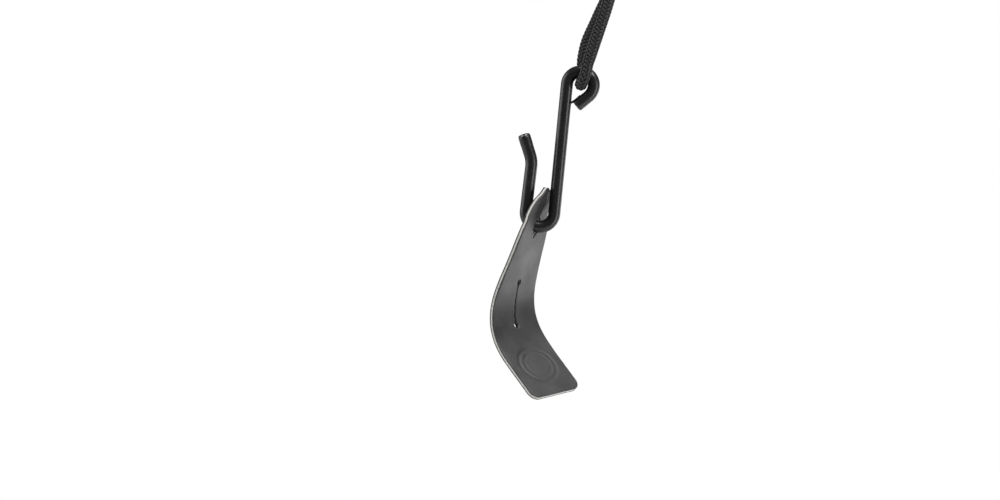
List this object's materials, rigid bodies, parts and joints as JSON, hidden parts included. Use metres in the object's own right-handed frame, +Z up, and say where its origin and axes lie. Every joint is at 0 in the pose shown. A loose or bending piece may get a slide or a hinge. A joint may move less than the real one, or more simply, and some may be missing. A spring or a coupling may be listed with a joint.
{
  "type": "woodwind neck strap",
  "caption": "Neck strap for a woodwind: padded neck band, braided cord with sliding adjuster, coated wire hook, and a bent leather tab with slits for a thumb rest.",
  "frame": {"origin": "on the inside of the neck band at the nape, where the strap rests on the wearer's neck", "axes": "+Z up as worn; the wearer faces -Y; +X is the wearer's left; the hook lies in an XZ plane"},
  "size_m": [0.1696, 0.1693, 0.4514],
  "materials": {
    "band_leather": "satin",
    "lining": "matt",
    "foam": "matt",
    "fittings": "polished nickel",
    "adjuster": "satin",
    "cord": "braided",
    "hook_coat": "satin gloss",
    "hook_wire": "bare cut end",
    "tab_leather": "smooth",
    "tab_core": "raw edge"
  },
  "bodies": {
    "neck_band": {"band_cover": "band_leather", "band_padding": "foam", "band_lining": "lining", "binding_upper": "band_leather", "binding_lower": "band_leather", "end_tab_left": "band_leather", "end_tab_right": "band_leather", "rivet_left": "fittings", "rivet_right": "fittings", "rivet_washer_left": "fittings", "rivet_washer_right": "fittings", "eyelet_left": "fittings", "eyelet_right": "fittings", "eyelet_washer_left": "fittings", "eyelet_washer_right": "fittings", "upper_cord_left": "cord", "upper_cord_right": "cord"},
    "adjuster": {"adjuster_body": "adjuster", "cord_stop_left": "fittings", "cord_stop_right": "fittings", "lower_cord_left": "cord", "lower_cord_right": "cord"},
    "cord_loop": {"cord_loop_end": "cord"},
    "hook": {"hook_coat": "hook_coat", "hook_wire": "hook_wire"},
    "leather_tab": {"tab_front": "tab_leather", "tab_core": "tab_core", "tab_back": "tab_leather"}
  },
  "joints": [
    {"name": "adjuster_slide", "type": "slide", "parent": "neck_band", "child": "adjuster", "axis": [0, 0, 1], "range_m": [-0.03, 0.045], "deforming": ["upper_cord_left", "upper_cord_right"]},
    {"name": "hook_drop", "type": "slide", "parent": "adjuster", "child": "cord_loop", "axis": [0, 0, -1], "range_m": [-0.06, 0.09], "deforming": ["lower_cord_left", "lower_cord_right"]},
    {"name": "hook_swing", "type": "hinge", "parent": "cord_loop", "child": "hook", "pos_m": [0, -0.135, -0.3342], "axis": [0, 1, 0], "range_deg": [-40, 45]},
    {"name": "tab_swing", "type": "hinge", "parent": "hook", "child": "leather_tab", "pos_m": [0.0025, -0.135, -0.3803], "axis": [0.9707, 0, 0.2402], "range_deg": [-20, 6]}
  ],
  "couplings": [
    {"joint": "hook_drop", "follows": "adjuster_slide", "ratio": 2}
  ]
}
